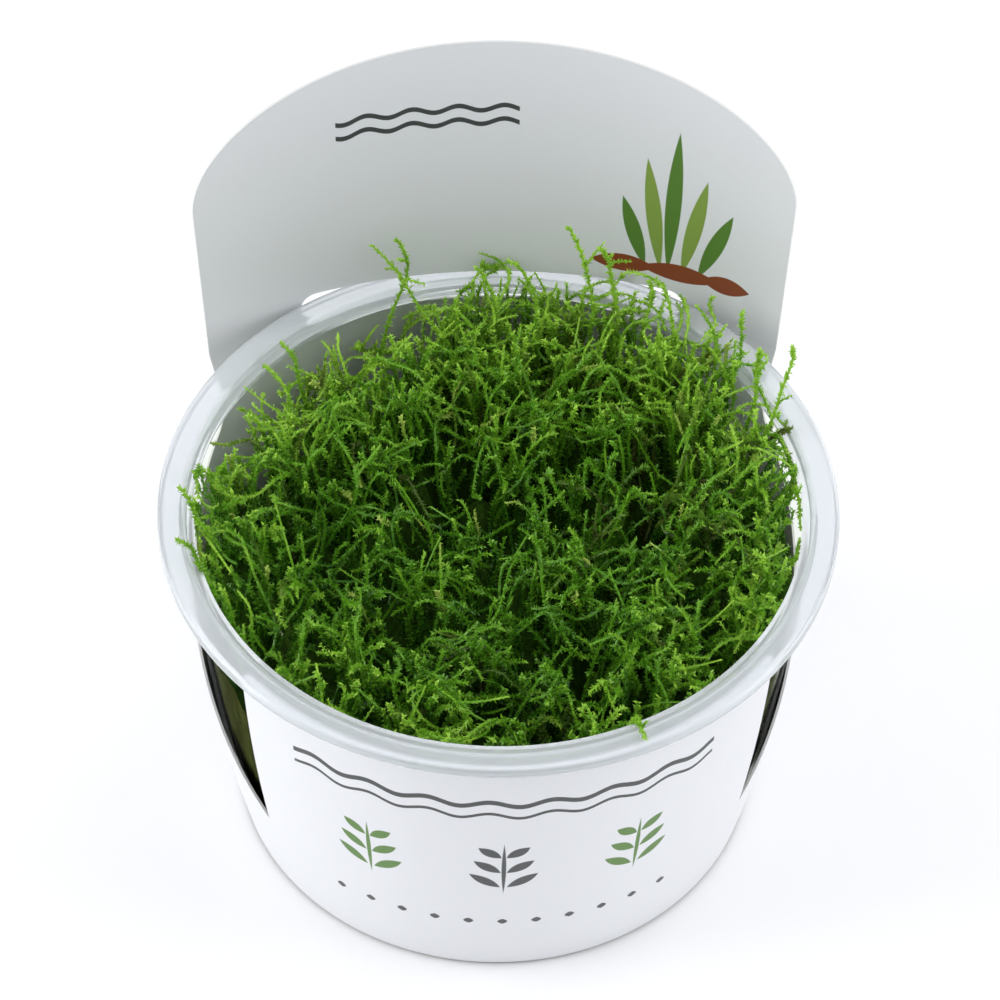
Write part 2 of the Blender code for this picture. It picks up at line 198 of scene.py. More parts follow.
def add_grain(tree, shader, scale, height, stretch=(1.0, 1.0, 1.0)):
    """Return a grain in Object coordinates, which makes bumps too where it has a height."""
    place = add_node(tree, "TexCoord", {})["Object"]
    stretched = add_node(tree, "Mapping", {"Vector": place, "Scale": stretch})["Vector"]
    grain = add_group(tree, surface_grain, {"Vector": stretched, "Scale": scale, "Height": height})
    if height > 0.0:
        feed(tree, shader, {"Normal": grain["Normal"]})
    return grain["Value"]


def uneven(tree, value, low, high):
    """Return a grain value spread from a low number to a high one."""
    return add_node(tree, "MapRange", {"Value": value, "From Min": 0.3, "From Max": 0.7,
                                       "To Min": low, "To Max": high})["Result"]


def clear_plastic(name, tint, milkiness, ior):
    """Return clear plastic that can scatter some of its light, with a faint moulded texture."""
    material, tree, shader = new_material(name, 0.12)
    grain = add_grain(tree, shader, 900.0, 0.05)
    feed(tree, shader, {"Base Color": tint, "Transmission Weight": 1.0 - milkiness, "IOR": ior,
                        "Roughness": uneven(tree, grain, 0.08, 0.18)})
    return material


def make_cup():
    """Turn the cup's profile round its axis, finer than the solid that it stands for."""
    inner_base = WALL_BASE_RADIUS - WALL_THICKNESS
    corners = [(0.0, FLOOR_THICKNESS, 0.0), (inner_base, FLOOR_THICKNESS, 2.0)]
    heights = [3.0 + 4.65 * step for step in range(13)]
    corners += [(wall_radius(height) - WALL_THICKNESS, height, 0.0) for height in heights]
    corners += [(MOUTH_RADIUS, 60.0, 0.0), (MOUTH_RADIUS, LID_SEAT_HEIGHT, 0.3),
                (SEAT_RADIUS, LID_SEAT_HEIGHT, 0.25), (FLANGE_RADIUS, CUP_HEIGHT, 0.6),
                (RIM_RADIUS, CUP_HEIGHT, 0.7), (RIM_RADIUS, CUP_HEIGHT - RIM_SKIRT, 0.2),
                (RIM_RADIUS - SKIRT_THICKNESS, CUP_HEIGHT - RIM_SKIRT, 0.2),
                (RIM_RADIUS - 0.8, CUP_HEIGHT - FLANGE_THICKNESS, 0.4),
                (NECK_RADIUS, CUP_HEIGHT - FLANGE_THICKNESS, 0.4)]
    corners += [(wall_radius(height), height, 0.0) for height in reversed(heights)]
    corners += [(WALL_BASE_RADIUS, 0.0, 0.9), (FOOT_RADIUS, 0.0, 0.0), (0.0, 0.0, 0.0)]
    shape = turned(rounded(corners), CUP_STEPS)
    for face in shape.faces:
        face.material_index = 1 if face.calc_center_median().z < WET_HEIGHT * MM else 0
    # The thin wet wall hardly mirrors or bends the light, so the moss shows dark through it.
    plastics = [clear_plastic("rim plastic", RIM_TINT, RIM_MILKINESS, RIM_IOR),
                clear_plastic("wet wall plastic", WALL_TINT, 0.0, WALL_IOR)]
    return finished_piece("cup_shell", shape, plastics, math.radians(40.0))


cup = make_cup()
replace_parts(cup, "cup")


# The sleeve
# One blank of smooth white card, die cut, wrapped round the cup and joined end to end. Its front
# panel is low, its back rises as an arched header, and the rim of the cup sticks out through a slot.

CARD_THICKNESS = 0.4
CARD_GAP = 0.4
CARD_RADIUS = 46.5
SLEEVE_TURN = math.radians(2.1)
SLEEVE_FOOT = 0.7
FRONT_TOP = 57.5
PANEL_LEFT_ANGLE = math.radians(53.2)
PANEL_RIGHT_ANGLE = math.radians(56.9)
FRONT_CORNER = 3.5
NOTCH_TIP_HEIGHT = 18.7
HEADER_FOOT = (45.8, 50.0)
HEADER_SHOULDER = (47.5, 86.5)
HEADER_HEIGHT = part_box("sleeve")[1].z / MM
HEADER_ARCH_POWER = 2.05
HEADER_CURVE_RADIUS = 84.0
HEADER_BACK = 46.8
HEADER_LEAN = 0.06
HEADER_LEAN_START = 60.0
HEADER_FILLET = 6.0
SLOT_HALF_LENGTH = 30.5
SLOT_LOW = 57.0
SLOT_HIGH = 62.4
CARD_COLUMNS = 180
CARD_ROWS = 36
CARD_WHITE = (0.80, 0.81, 0.835, 1.0)


def round_corner(before, corner, after, radius):
    """Return an arc of the given radius that rounds a corner between two straight edges."""
    corner = Vector(corner)
    back = (Vector(before) - corner).normalized()
    ahead = (Vector(after) - corner).normalized()
    half = back.angle(ahead) / 2.0
    centre = corner + (back + ahead).normalized() * (radius / math.sin(half))
    first = (corner + back * (radius / math.tan(half)) - centre).normalized()
    last = (corner + ahead * (radius / math.tan(half)) - centre).normalized()
    return [tuple(centre + first.slerp(last, step / 8.0) * radius) for step in range(9)]


def sleeve_half_outline(panel_angle):
    """Return one half of the flat blank, from the seam's foot up and over to the header's crown."""
    seam = math.pi * CARD_RADIUS
    panel_edge = (math.pi - panel_angle) * CARD_RADIUS
    tip = (panel_edge, NOTCH_TIP_HEIGHT)
    points = [(seam, SLEEVE_FOOT), (seam, FRONT_TOP)]
    points += round_corner((seam, FRONT_TOP), (panel_edge, FRONT_TOP), tip, FRONT_CORNER)
    points.append(tip)
    points += round_corner(tip, HEADER_FOOT, HEADER_SHOULDER, HEADER_FILLET)
    arch_rise = HEADER_HEIGHT - HEADER_SHOULDER[1]
    for index in range(48):
        angle = math.pi / 2.0 * index / 48.0
        across = math.cos(angle) ** (2.0 / HEADER_ARCH_POWER)
        up = math.sin(angle) ** (2.0 / HEADER_ARCH_POWER)
        points.append((HEADER_SHOULDER[0] * across, HEADER_SHOULDER[1] + arch_rise * up))
    points.append((0.0, HEADER_HEIGHT))
    return points


def slot_outline():
    """Return the long round-ended slot that the cup's rim passes through."""
    middle = (SLOT_LOW + SLOT_HIGH) / 2.0
    radius = (SLOT_HIGH - SLOT_LOW) / 2.0
    run = SLOT_HALF_LENGTH - radius
    points = []
    for side, start in ((1.0, -90.0), (-1.0, 90.0)):
        for step in range(13):
            angle = math.radians(start + 15.0 * step)
            points.append((side * run + radius * math.cos(angle), middle + radius * math.sin(angle)))
    return points


def punch(name, outline):
    """Return a helper solid with an outline that stands through the flat blank."""
    shape = bmesh.new()
    corners = [shape.verts.new((x * MM, -CARD_THICKNESS * MM, z * MM)) for x, z in outline]
    face = shape.faces.new(corners)
    extruded = bmesh.ops.extrude_face_region(shape, geom=[face])
    raised = [item for item in extruded["geom"] if isinstance(item, bmesh.types.BMVert)]
    bmesh.ops.translate(shape, verts=raised, vec=(0.0, 3.0 * CARD_THICKNESS * MM, 0.0))
    bmesh.ops.recalc_face_normals(shape, faces=shape.faces)
    return new_object(name, finished_mesh(name, shape))


def ruled_board():
    """Return the flat board, ruled in columns and rows so that it can bend."""
    length = 2.0 * math.pi * CARD_RADIUS
    top = HEADER_HEIGHT + 1.0
    shape = bmesh.new()
    bmesh.ops.create_cube(shape, size=1.0)
    bmesh.ops.scale(shape, verts=shape.verts, vec=(length * MM, CARD_THICKNESS * MM, top * MM))
    bmesh.ops.translate(shape, verts=shape.verts,
                        vec=(0.0, CARD_THICKNESS * MM / 2.0, top * MM / 2.0))
    cuts = [((length * (column / CARD_COLUMNS - 0.5) * MM, 0.0, 0.0), (1.0, 0.0, 0.0))
            for column in range(1, CARD_COLUMNS)]
    cuts += [((0.0, 0.0, top * row / CARD_ROWS * MM), (0.0, 0.0, 1.0))
             for row in range(1, CARD_ROWS)]
    for point, normal in cuts:
        everything = shape.verts[:] + shape.edges[:] + shape.faces[:]
        bmesh.ops.bisect_plane(shape, geom=everything, plane_co=point, plane_no=normal)
    return new_object("board", finished_mesh("board", shape))


def wrapped_point(along, height):
    """Return where a point of the flat card's inner face goes when it is wrapped.

    The band and the front panel hug the wall. Above the notches the back opens out, from the
    wall's curve to the header's flatter one, and the header leans back.
    """
    panel_angle = PANEL_RIGHT_ANGLE if along > 0.0 else PANEL_LEFT_ANGLE
    on_front = abs(along) > (math.pi - panel_angle) * CARD_RADIUS - 0.01
    hug = wall_radius(min(height, WALL_TOP_HEIGHT)) + CARD_GAP
    free = min(1.0, max(0.0, (height - NOTCH_TIP_HEIGHT) / (SLOT_LOW - NOTCH_TIP_HEIGHT)))
    opening = 0.0 if on_front else free ** 4
    curvature = (1.0 - opening) / hug + opening / HEADER_CURVE_RADIUS
    turn = along * ((1.0 - opening) / CARD_RADIUS + opening / HEADER_CURVE_RADIUS)
    leaning = HEADER_BACK + HEADER_LEAN * (height - HEADER_LEAN_START)
    back = hug + (leaning - hug) * opening
    return Vector((math.sin(turn) / curvature, back - (1.0 - math.cos(turn)) / curvature, height))


def done_shape(solid, helpers=()):
    """Return a bmesh of an object with its modifiers done, and remove it and its helpers."""
    shape = bmesh.new()
    shape.from_mesh(solid.evaluated_get(bpy.context.evaluated_depsgraph_get()).to_mesh())
    for done in (solid, *helpers):
        bpy.data.objects.remove(done, do_unlink=True)
    return shape


def blank_cut_out():
    """Cut the blank and its slot from the flat board, and return the inner face as a bmesh."""
    outline = sleeve_half_outline(PANEL_RIGHT_ANGLE)
    left_half = sleeve_half_outline(PANEL_LEFT_ANGLE)
    outline += [(-x, z) for x, z in reversed(left_half[:-1])]
    board = ruled_board()
    blank = punch("blank outline", outline)
    slot = punch("rim slot", slot_outline())
    for solid, operation in ((blank, "INTERSECT"), (slot, "DIFFERENCE")):
        cut = board.modifiers.new(solid.name, "BOOLEAN")
        cut.operation = operation
        cut.object = solid
    shape = done_shape(board, (blank, slot))
    others = [face for face in shape.faces if any(vertex.co.y > 1e-6 for vertex in face.verts)]
    bmesh.ops.delete(shape, geom=others, context="FACES")
    return shape


def make_sleeve(materials):
    """Wrap the cut blank round the cup, with its flat place kept as a UV map for the print."""
    shape = blank_cut_out()
    flat_place = shape.loops.layers.uv.new("flat card")
    for face in shape.faces:
        for loop in face.loops:
            loop[flat_place].uv = (loop.vert.co.x, loop.vert.co.z)
    for vertex in shape.verts:
        vertex.co = wrapped_point(vertex.co.x / MM, vertex.co.z / MM) * MM
    bmesh.ops.remove_doubles(shape, verts=shape.verts, dist=0.00001)
    bmesh.ops.rotate(shape, verts=shape.verts, cent=(0.0, 0.0, 0.0),
                     matrix=Matrix.Rotation(SLEEVE_TURN, 3, "Z"))
    many_sided = [face for face in shape.faces if len(face.verts) > 4]
    bmesh.ops.triangulate(shape, faces=many_sided)
    bmesh.ops.reverse_faces(shape, faces=shape.faces)
    thin = finished_piece("thin sleeve", shape, materials)
    thickness = thin.modifiers.new("Thickness", "SOLIDIFY")
    thickness.thickness = CARD_THICKNESS * MM
    thickness.offset = 1.0
    thickness.material_offset = 1
    thickness.material_offset_rim = 2
    return finished_piece("card_sleeve", done_shape(thin), materials, math.radians(40.0))


BARE_BOARD = (0.74, 0.74, 0.73, 1.0)
PRINT_GREY = (0.055, 0.06, 0.06, 1.0)
PRINT_GREEN = (0.10, 0.22, 0.035, 1.0)
PRINT_LEAF = (0.24, 0.36, 0.07, 1.0)
PRINT_RUST = (0.26, 0.06, 0.02, 1.0)
DOT_PITCH = 5.5
DOT_HEIGHT = 15.0
DOT_RADIUS = 0.8


def math_node(tree, operation, first, second=None, third=None):
    """Add a Math node whose inputs are sockets or numbers, and return its output."""
    node = tree.nodes.new("ShaderNodeMath")
    node.operation = operation
    given = {place: value for place, value in enumerate((first, second, third)) if value is not None}
    return feed(tree, node, given).outputs["Value"]


def leaf_mark_group():
    """Return the group for one printed mark, a pointed leaf or an oval, as a mask.

    Across and Up are the flat card's place. The mark has its own middle, half sizes and lean.
    """
    group = bpy.data.node_groups.new("printed leaf", "ShaderNodeTree")
    for name in ("Across", "Up", "Middle Across", "Middle Up", "Half Length", "Half Width", "Lean"):
        group.interface.new_socket(name, in_out="INPUT", socket_type="NodeSocketFloat")
    group.interface.new_socket("Mask", in_out="OUTPUT", socket_type="NodeSocketFloat")
    inside = group.nodes.new("NodeGroupInput").outputs
    across = math_node(group, "SUBTRACT", inside["Across"], inside["Middle Across"])
    up = math_node(group, "SUBTRACT", inside["Up"], inside["Middle Up"])
    cosine = math_node(group, "COSINE", inside["Lean"])
    sine = math_node(group, "SINE", inside["Lean"])
    length = math_node(group, "ADD", math_node(group, "MULTIPLY", across, sine),
                       math_node(group, "MULTIPLY", up, cosine))
    width = math_node(group, "SUBTRACT", math_node(group, "MULTIPLY", across, cosine),
                      math_node(group, "MULTIPLY", up, sine))
    share = math_node(group, "DIVIDE", length, inside["Half Length"])
    taper = math_node(group, "SUBTRACT", 1.0, math_node(group, "MULTIPLY", share, share))
    room = math_node(group, "SUBTRACT", math_node(group, "MULTIPLY", taper, inside["Half Width"]),
                     math_node(group, "ABSOLUTE", width))
    soft = math_node(group, "ADD", math_node(group, "DIVIDE", room, 0.00012), 0.5)
    mask = math_node(group, "MAXIMUM", math_node(group, "MINIMUM", soft, 1.0), 0.0)
    feed(group, group.nodes.new("NodeGroupOutput"), {"Mask": mask})
    return group


printed_leaf = leaf_mark_group()


def add_mark(tree, across, up, middle, half_size, lean=0.0):
    """Place one printed mark, sizes in millimetres and the lean in degrees, and return its mask."""
    place = {"Across": across, "Up": up, "Lean": math.radians(lean),
             "Middle Across": middle[0] * MM, "Middle Up": middle[1] * MM,
             "Half Length": half_size[0] * MM, "Half Width": half_size[1] * MM}
    return add_group(tree, printed_leaf, place)["Mask"]


def add_ink(tree, colour, mask, ink):
    """Print an ink over a colour where the mask is, and return the new colour.

    On a Mix node the mask is input 0, the two colours are inputs 6 and 7, and their mix is output 2.
    """
    mix = tree.nodes.new("ShaderNodeMix")
    mix.data_type = "RGBA"
    return feed(tree, mix, {0: mask, 6: colour, 7: ink}).outputs[2]


def flat_card_place(tree):
    """Return the across and up sockets of the flat card's UV map."""
    place = tree.nodes.new("ShaderNodeUVMap")
    place.uv_map = "flat card"
    parts = add_node(tree, "SeparateXYZ", {"Vector": place.outputs["UV"]})
    return parts["X"], parts["Y"]


def wavy_line(tree, across, up, height, span, wave, thickness):
    """Return the mask of a wavy printed line, (length, rise) of its wave in millimetres."""
    turn = math_node(tree, "MULTIPLY", across, 2.0 * math.pi / (wave[0] * MM))
    swing = math_node(tree, "MULTIPLY", math_node(tree, "SINE", turn), wave[1] * MM)
    off = math_node(tree, "SUBTRACT", math_node(tree, "SUBTRACT", up, height * MM), swing)
    inked = math_node(tree, "LESS_THAN", math_node(tree, "ABSOLUTE", off), thickness * MM / 2.0)
    middle = (span[0] + span[1]) / 2.0
    from_middle = math_node(tree, "ABSOLUTE", math_node(tree, "SUBTRACT", across, middle * MM))
    within = math_node(tree, "LESS_THAN", from_middle, (span[1] - span[0]) / 2.0 * MM)
    return math_node(tree, "MULTIPLY", inked, within)


def card_material(name):
    """Return a smooth coated card's material, its tree and its shader."""
    material, tree, shader = new_material(name, 0.42)
    grain = add_grain(tree, shader, 1600.0, 0.06)
    feed(tree, shader, {"Roughness": uneven(tree, grain, 0.34, 0.5)})
    return material, tree, shader


def header_side():
    """Return the card's inner side: reeds, pebbles and water lines printed on the header."""
    material, tree, shader = card_material("card header side")
    across, up = flat_card_place(tree)
    colour = CARD_WHITE
    for height in (95.0, 92.4):
        line = wavy_line(tree, across, up, height, (-24.0, 4.0), (7.0, 0.5), 0.9)
        colour = add_ink(tree, colour, line, PRINT_GREY)
    reeds = ((22.0, 7.0, -16.0, PRINT_GREEN), (25.0, 11.0, -7.0, PRINT_LEAF),
             (28.0, 14.0, 2.0, PRINT_GREEN), (31.5, 10.0, 10.0, PRINT_LEAF),
             (35.0, 7.5, 20.0, PRINT_GREEN))
    for place, half_length, lean, ink in reeds:
        mark = add_mark(tree, across, up, (place, 66.0 + half_length), (half_length, 1.25), lean)
        colour = add_ink(tree, colour, mark, ink)
    for place, half_length in ((20.5, 5.2), (29.5, 6.5), (37.0, 4.0)):
        mark = add_mark(tree, across, up, (place, 66.3), (half_length, 1.7), 90.0)
        colour = add_ink(tree, colour, mark, PRINT_RUST)
    feed(tree, shader, {"Base Color": colour})
    return material


def panel_side():
    """Return the card's outer side: a row of sprigs between water lines on the front panel."""
    material, tree, shader = card_material("card panel side")
    along, up = flat_card_place(tree)
    half_turn = math.pi * CARD_RADIUS * MM
    size = math_node(tree, "ABSOLUTE", along)
    sign = math_node(tree, "SIGN", along)
    across = math_node(tree, "MULTIPLY", math_node(tree, "SUBTRACT", size, half_turn), sign)
    colour = CARD_WHITE
    for height, thickness in ((48.5, 1.1), (45.6, 0.7)):
        line = wavy_line(tree, across, up, height, (-33.0, 33.0), (9.0, 0.6), thickness)
        colour = add_ink(tree, colour, line, PRINT_GREY)
    for place, ink in ((-21.0, PRINT_GREEN), (0.0, PRINT_GREY), (21.0, PRINT_GREEN)):
        stalk = add_mark(tree, across, up, (place, 31.0), (7.0, 0.35))
        colour = add_ink(tree, colour, stalk, ink)
        for level in range(3):
            for side in (-1.0, 1.0):
                middle = (place + side * (2.9 - 0.4 * level), 27.6 + 4.0 * level)
                leaf = add_mark(tree, across, up, middle, (3.0 - 0.4 * level, 0.95), side * 52.0)
                colour = add_ink(tree, colour, leaf, ink)
    aside = math_node(tree, "ABSOLUTE", across)
    repeat = math_node(tree, "PINGPONG", aside, DOT_PITCH / 2.0 * MM)
    dot = add_mark(tree, repeat, up, (0.0, DOT_HEIGHT), (DOT_RADIUS, DOT_RADIUS))
    near = math_node(tree, "LESS_THAN", aside, 5.25 * DOT_PITCH * MM)
    colour = add_ink(tree, colour, math_node(tree, "MULTIPLY", dot, near), PRINT_GREY)
    feed(tree, shader, {"Base Color": colour})
    return material


def cut_edge():
    """Return the card's cut edge, which shows the board's bare fibres."""
    material, tree, shader = new_material("card cut edge", 0.85)
    feed(tree, shader, {"Base Color": BARE_BOARD})
    add_grain(tree, shader, 4000.0, 0.4)
    return material


sleeve = make_sleeve([panel_side(), header_side(), cut_edge()])
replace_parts(sleeve, "sleeve")


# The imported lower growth
# Below the living tips the moss is a mat of old brown-green stems, pressed against the cup's wall
# and floor. It shows dark between the strands, and through the wall in the sleeve's two notches.

MOSS_RADIUS = 44.6
MOSS_LEVEL = 53.5
MOSS_DISH = 5.0
MOSS_BACK_RISE = 4.0
BARE_ANGLE = math.radians(140.0)
BARE_HALF_WIDTH = math.radians(10.5)
BARE_FADE = math.radians(28.5)
BARE_DEPTH = 13.0
BARE_START_RADIUS = 33.0
TUFT_COUNT = 52
TUFT_RADIUS = 6.2
TUFT_HEIGHT = 4.5
TUFT_HEIGHT_SPREAD = 0.45
TUFT_RADIUS_SPREAD = 0.2
GOLDEN_ANGLE = math.radians(137.508)
HOLLOWS = np.array((
    (-9.0, 8.0, 7.5, 15.0), (-6.0, 19.5, 5.5, 10.0), (1.0, 7.5, 4.5, 8.0), (-11.0, -2.5, 4.5, 7.5),
    (0.5, -30.5, 6.0, 13.0), (22.5, 11.0, 6.5, 12.0), (12.5, -17.5, 5.0, 9.0), (13.5, -26.5, 5.5, 10.5),
    (7.5, -37.0, 5.5, 10.0), (-15.0, -19.0, 6.0, 10.5), (-7.5, -19.5, 4.5, 7.5), (-26.5, -1.5, 6.0, 9.0),
    (-20.5, -8.5, 5.0, 8.0), (-35.5, -14.5, 5.0, 9.0), (-31.0, -22.5, 5.5, 9.5), (33.0, -24.5, 5.5, 11.0),
    (29.5, -13.5, 5.5, 9.0), (9.5, 13.5, 4.5, 8.0), (9.0, 3.0, 4.5, 7.0), (-2.5, -12.0, 4.5, 7.5),
    (21.5, 0.0, 5.0, 8.0), (20.5, -34.0, 4.5, 7.5), (-24.5, -29.0, 4.5, 7.5), (5.0, 24.5, 4.5, 6.0),
))
MAT_DEPTH = 14.0
MAT_STEPS = 120
MAT_FLOOR_GAP = 0.4
MAT_FOOT_RADIUS = 37.4
MAT_FOOT_HEIGHT = 3.5
MAT_SIDE_RADIUS = 44.0
MAT_SHOULDER_HEIGHT = 50.0
MAT_WALL_GAP = 0.15
MAT_TOP_RADIUS = 42.4
MAT_TOP_ROW = 60.0
PRESSED_RADIUS = 41.0
PRESSED_OLIVES = ((0.014, 0.016, 0.004, 1.0), (0.075, 0.083, 0.025, 1.0))
SHADED_GREENS = ((0.018, 0.048, 0.006, 1.0), (0.045, 0.110, 0.012, 1.0))


def smooth_step(value, low, high):
    """Return 0 below low, 1 above high, and an eased slope between, for numbers or arrays."""
    share = np.clip((value - low) / (high - low), 0.0, 1.0)
    return share * share * (3.0 - 2.0 * share)


def bare_share(x, y):
    """Return how near places are to the bare wall at the back left, from 0 to 1."""
    apart = np.abs(np.arctan2(-x, -y) - BARE_ANGLE)
    bare = 1.0 - smooth_step(apart, BARE_HALF_WIDTH, BARE_HALF_WIDTH + BARE_FADE)
    return bare * smooth_step(np.hypot(x, y), BARE_START_RADIUS, MOSS_RADIUS)


def moss_level(x, y):
    """Return the clump's mean height: a shallow dish that drops at the bare wall."""
    dish = MOSS_DISH * (np.hypot(x, y) / MOSS_RADIUS) ** 2
    rise = MOSS_BACK_RISE * y / MOSS_RADIUS
    return MOSS_LEVEL + dish + rise - BARE_DEPTH * bare_share(x, y)


def tufts():
    """Return each tuft's (x, y, radius, height), spread like seeds in a sunflower."""
    index = np.arange(TUFT_COUNT)
    radius = MOSS_RADIUS * np.sqrt((index + 0.5) / TUFT_COUNT)
    angle = index * GOLDEN_ANGLE
    vary = np.sin(index * 2.37) * np.cos(index * 0.91)
    return np.stack([radius * np.cos(angle), radius * np.sin(angle),
                     TUFT_RADIUS * (1.0 - TUFT_RADIUS_SPREAD * vary),
                     TUFT_HEIGHT * (1.0 + TUFT_HEIGHT_SPREAD * vary)], axis=1)


TUFTS = tufts()


def mound(x, y, places, power):
    """Return the tallest there of the round mounds, each (x, y, radius, height)."""
    apart = np.hypot(x[..., None] - places[:, 0], y[..., None] - places[:, 1]) / places[:, 2]
    return (places[:, 3] * np.clip(1.0 - apart ** 2, 0.0, 1.0) ** power).max(axis=-1)


def moss_ground(x, y, tuft_share, hollow_share):
    """Return the clump's height, with shares of its tufts and of the hollows between them."""
    return (moss_level(x, y) + tuft_share * mound(x, y, TUFTS, 1.5)
            - hollow_share * mound(x, y, HOLLOWS, 1.0))


def colour_ramp(tree, value, stops):
    """Return the colour that a value has between stops, each (position, colour)."""
    ramp = feed(tree, tree.nodes.new("ShaderNodeValToRGB"), {"Fac": value})
    elements = ramp.color_ramp.elements
    elements[0].position, elements[0].color = stops[0]
    elements[1].position, elements[1].color = stops[-1]
    for position, colour in stops[1:-1]:
        elements.new(position).color = colour
    return ramp.outputs["Color"]


def old_growth(name, dark, light):
    """Return a material for the mat: dull, in upright streaks of two colours."""
    material, tree, shader = new_material(name, 0.7)
    grain = add_grain(tree, shader, 1300.0, 1.0, (1.0, 1.0, 0.09))
    colour = colour_ramp(tree, grain, ((0.35, dark), (0.65, light)))
    feed(tree, shader, {"Base Color": colour, "Specular IOR Level": 0.0})
    return material


def make_mat():
    """Turn a plain mat, then give it furrows up its side and a top that follows the hollows."""
    floor = FLOOR_THICKNESS + MAT_FLOOR_GAP
    side_rows = np.linspace(MAT_FOOT_HEIGHT, MAT_SHOULDER_HEIGHT, 24)
    profile = [(0.0, floor), (MAT_FOOT_RADIUS, floor)]
    profile += [(MAT_SIDE_RADIUS, height) for height in side_rows]
    profile += [(radius, MAT_TOP_ROW) for radius in np.linspace(MAT_TOP_RADIUS, 0.0, 26)]
    shape = turned(profile, MAT_STEPS)
    for vertex in shape.verts:
        x, y, z = vertex.co / MM
        radius = math.hypot(x, y)
        angle = math.atan2(y, x)
        furrow = math.sin(37.0 * angle + 2.0 * math.sin(0.21 * z)) + math.sin(23.0 * angle)
        if z > MAT_TOP_ROW - 1.0:
            ground = float(moss_ground(np.array(x), np.array(y), 0.6, 1.0))
            lumps = math.sin(0.9 * x + 1.3 * math.sin(0.5 * y)) * math.cos(0.8 * y + 0.4 * x)
            z = ground - MAT_DEPTH + 1.2 * lumps
        elif radius > 40.0:
            edge = MOSS_RADIUS * np.array((math.cos(angle), math.sin(angle)))
            height = float(moss_level(*edge)) - MAT_DEPTH + 0.8 * furrow
            share = (z - MAT_FOOT_HEIGHT) / (MAT_SHOULDER_HEIGHT - MAT_FOOT_HEIGHT)
            z = MAT_FOOT_HEIGHT + share * (height - MAT_FOOT_HEIGHT)
            radius = wall_radius(z) - WALL_THICKNESS - MAT_WALL_GAP - 0.04 * furrow
        vertex.co = Vector((radius * math.cos(angle), radius * math.sin(angle), z)) * MM
    for face in shape.faces:
        face.normal_update()
        pressed = face.normal.z < 0.5 and face.calc_center_median().xy.length > PRESSED_RADIUS * MM
        face.material_index = 0 if pressed else 1
    growths = [old_growth("pressed growth", *PRESSED_OLIVES),
               old_growth("shaded growth", *SHADED_GREENS)]
    return finished_piece("moss_lower_growth", shape, growths, math.radians(60.0))


mat = make_mat()
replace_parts(mat, "moss_clump")


# The moss strands
# Each strand is a thin stem closely set with small pointed leaves. Most stand upright side by side,
# others arch over the hollows or lie tangled on top, and short side branches leave them all.

STEM_RADIUS = 0.25
STEM_TAPER = 0.4
LEAF_LENGTH = 0.86
LEAF_WIDTH = 0.44
LEAF_LEANS = (26.0, 60.0)
LEAF_FOLD = 0.22
LEAF_WIDEST = 0.42
LEAF_CURL = 0.12
BUNCH_COUNT = 190
BUNCH_PULL = 0.5
MIDDLE_POWER = 0.44
FAN_LEAN = 0.24
FLOW_LEAN = 0.12
TIP_RISE = 2.2
ROOM_HEIGHTS = (0.0, 30.0, 45.0, 59.0, 62.3, 63.6, 70.0)
ROOM_RADII = (38.0, 42.5, 44.0, 44.7, 44.8, 48.6, 49.4)
HEADER_ROOM = 45.8
HEADER_SLOPE = 0.037
STRAND_VALUES = ("fresh_and_lit", "age", "straw")
FRESH_MEAN = 0.58
# Darker deep in the clump: partly older leaves, partly painted shade.
DEPTH_AGE_AND_SHADE = 0.42
# Painted light: the strands are lighter at the rim and at the back, where the side and back lights fall.
RIM_PAINTED_LIGHT = 0.22
BACK_PAINTED_LIGHT = 0.16
TIP_FRESH = 0.16
FRESH_SPREAD = 0.26
# Each leaf's tone varies at random, and its lighter leaves also stand in for painted glints.
SPECKLE_AND_GLINT = 0.3
PALE_SHARE = 0.025
LEAF_GREENS = ((0.0, (0.026, 0.095, 0.006, 1.0)), (0.35, (0.044, 0.160, 0.007, 1.0)),
                (0.70, (0.140, 0.360, 0.017, 1.0)), (1.0, (0.350, 0.620, 0.055, 1.0)))
OLD_BROWN = (0.072, 0.056, 0.022, 1.0)
PALE_STRAW = (0.38, 0.52, 0.09, 1.0)
OLD_PATCH = (26.0, 6.0)
rng = np.random.default_rng(2024)


def unit(vectors):
    """Return the vectors at length one."""
    return vectors / np.maximum(np.linalg.norm(vectors, axis=-1, keepdims=True), 1e-9)


def keep_inside(routes):
    """Draw points in to the room there is: inside the wall, clear of the flange and the header."""
    radius = np.hypot(routes[..., 0], routes[..., 1])
    limit = np.interp(routes[..., 2], ROOM_HEIGHTS, ROOM_RADII)
    scale = np.minimum(1.0, limit / np.maximum(radius, 1e-6))
    routes[..., :2] *= scale[..., None]
    across = routes[..., 0]
    header = HEADER_ROOM - across ** 2 / (2.0 * HEADER_CURVE_RADIUS) + HEADER_SLOPE * across
    behind = (routes[..., 2] > HEADER_LEAN_START) & (routes[..., 1] > header)
    routes[..., 1] = np.where(behind, header, routes[..., 1])
    return routes


def read_routes(routes, share):
    """Return the points and the directions of routes at shares of their length."""
    place = share * (routes.shape[1] - 1)
    step = np.minimum(place.astype(int), routes.shape[1] - 2)
    rest = (place - step)[..., None]
    strand = np.arange(len(routes))[:, None]
    start = routes[strand, step]
    end = routes[strand, step + 1]
    return start + (end - start) * rest, unit(end - start)


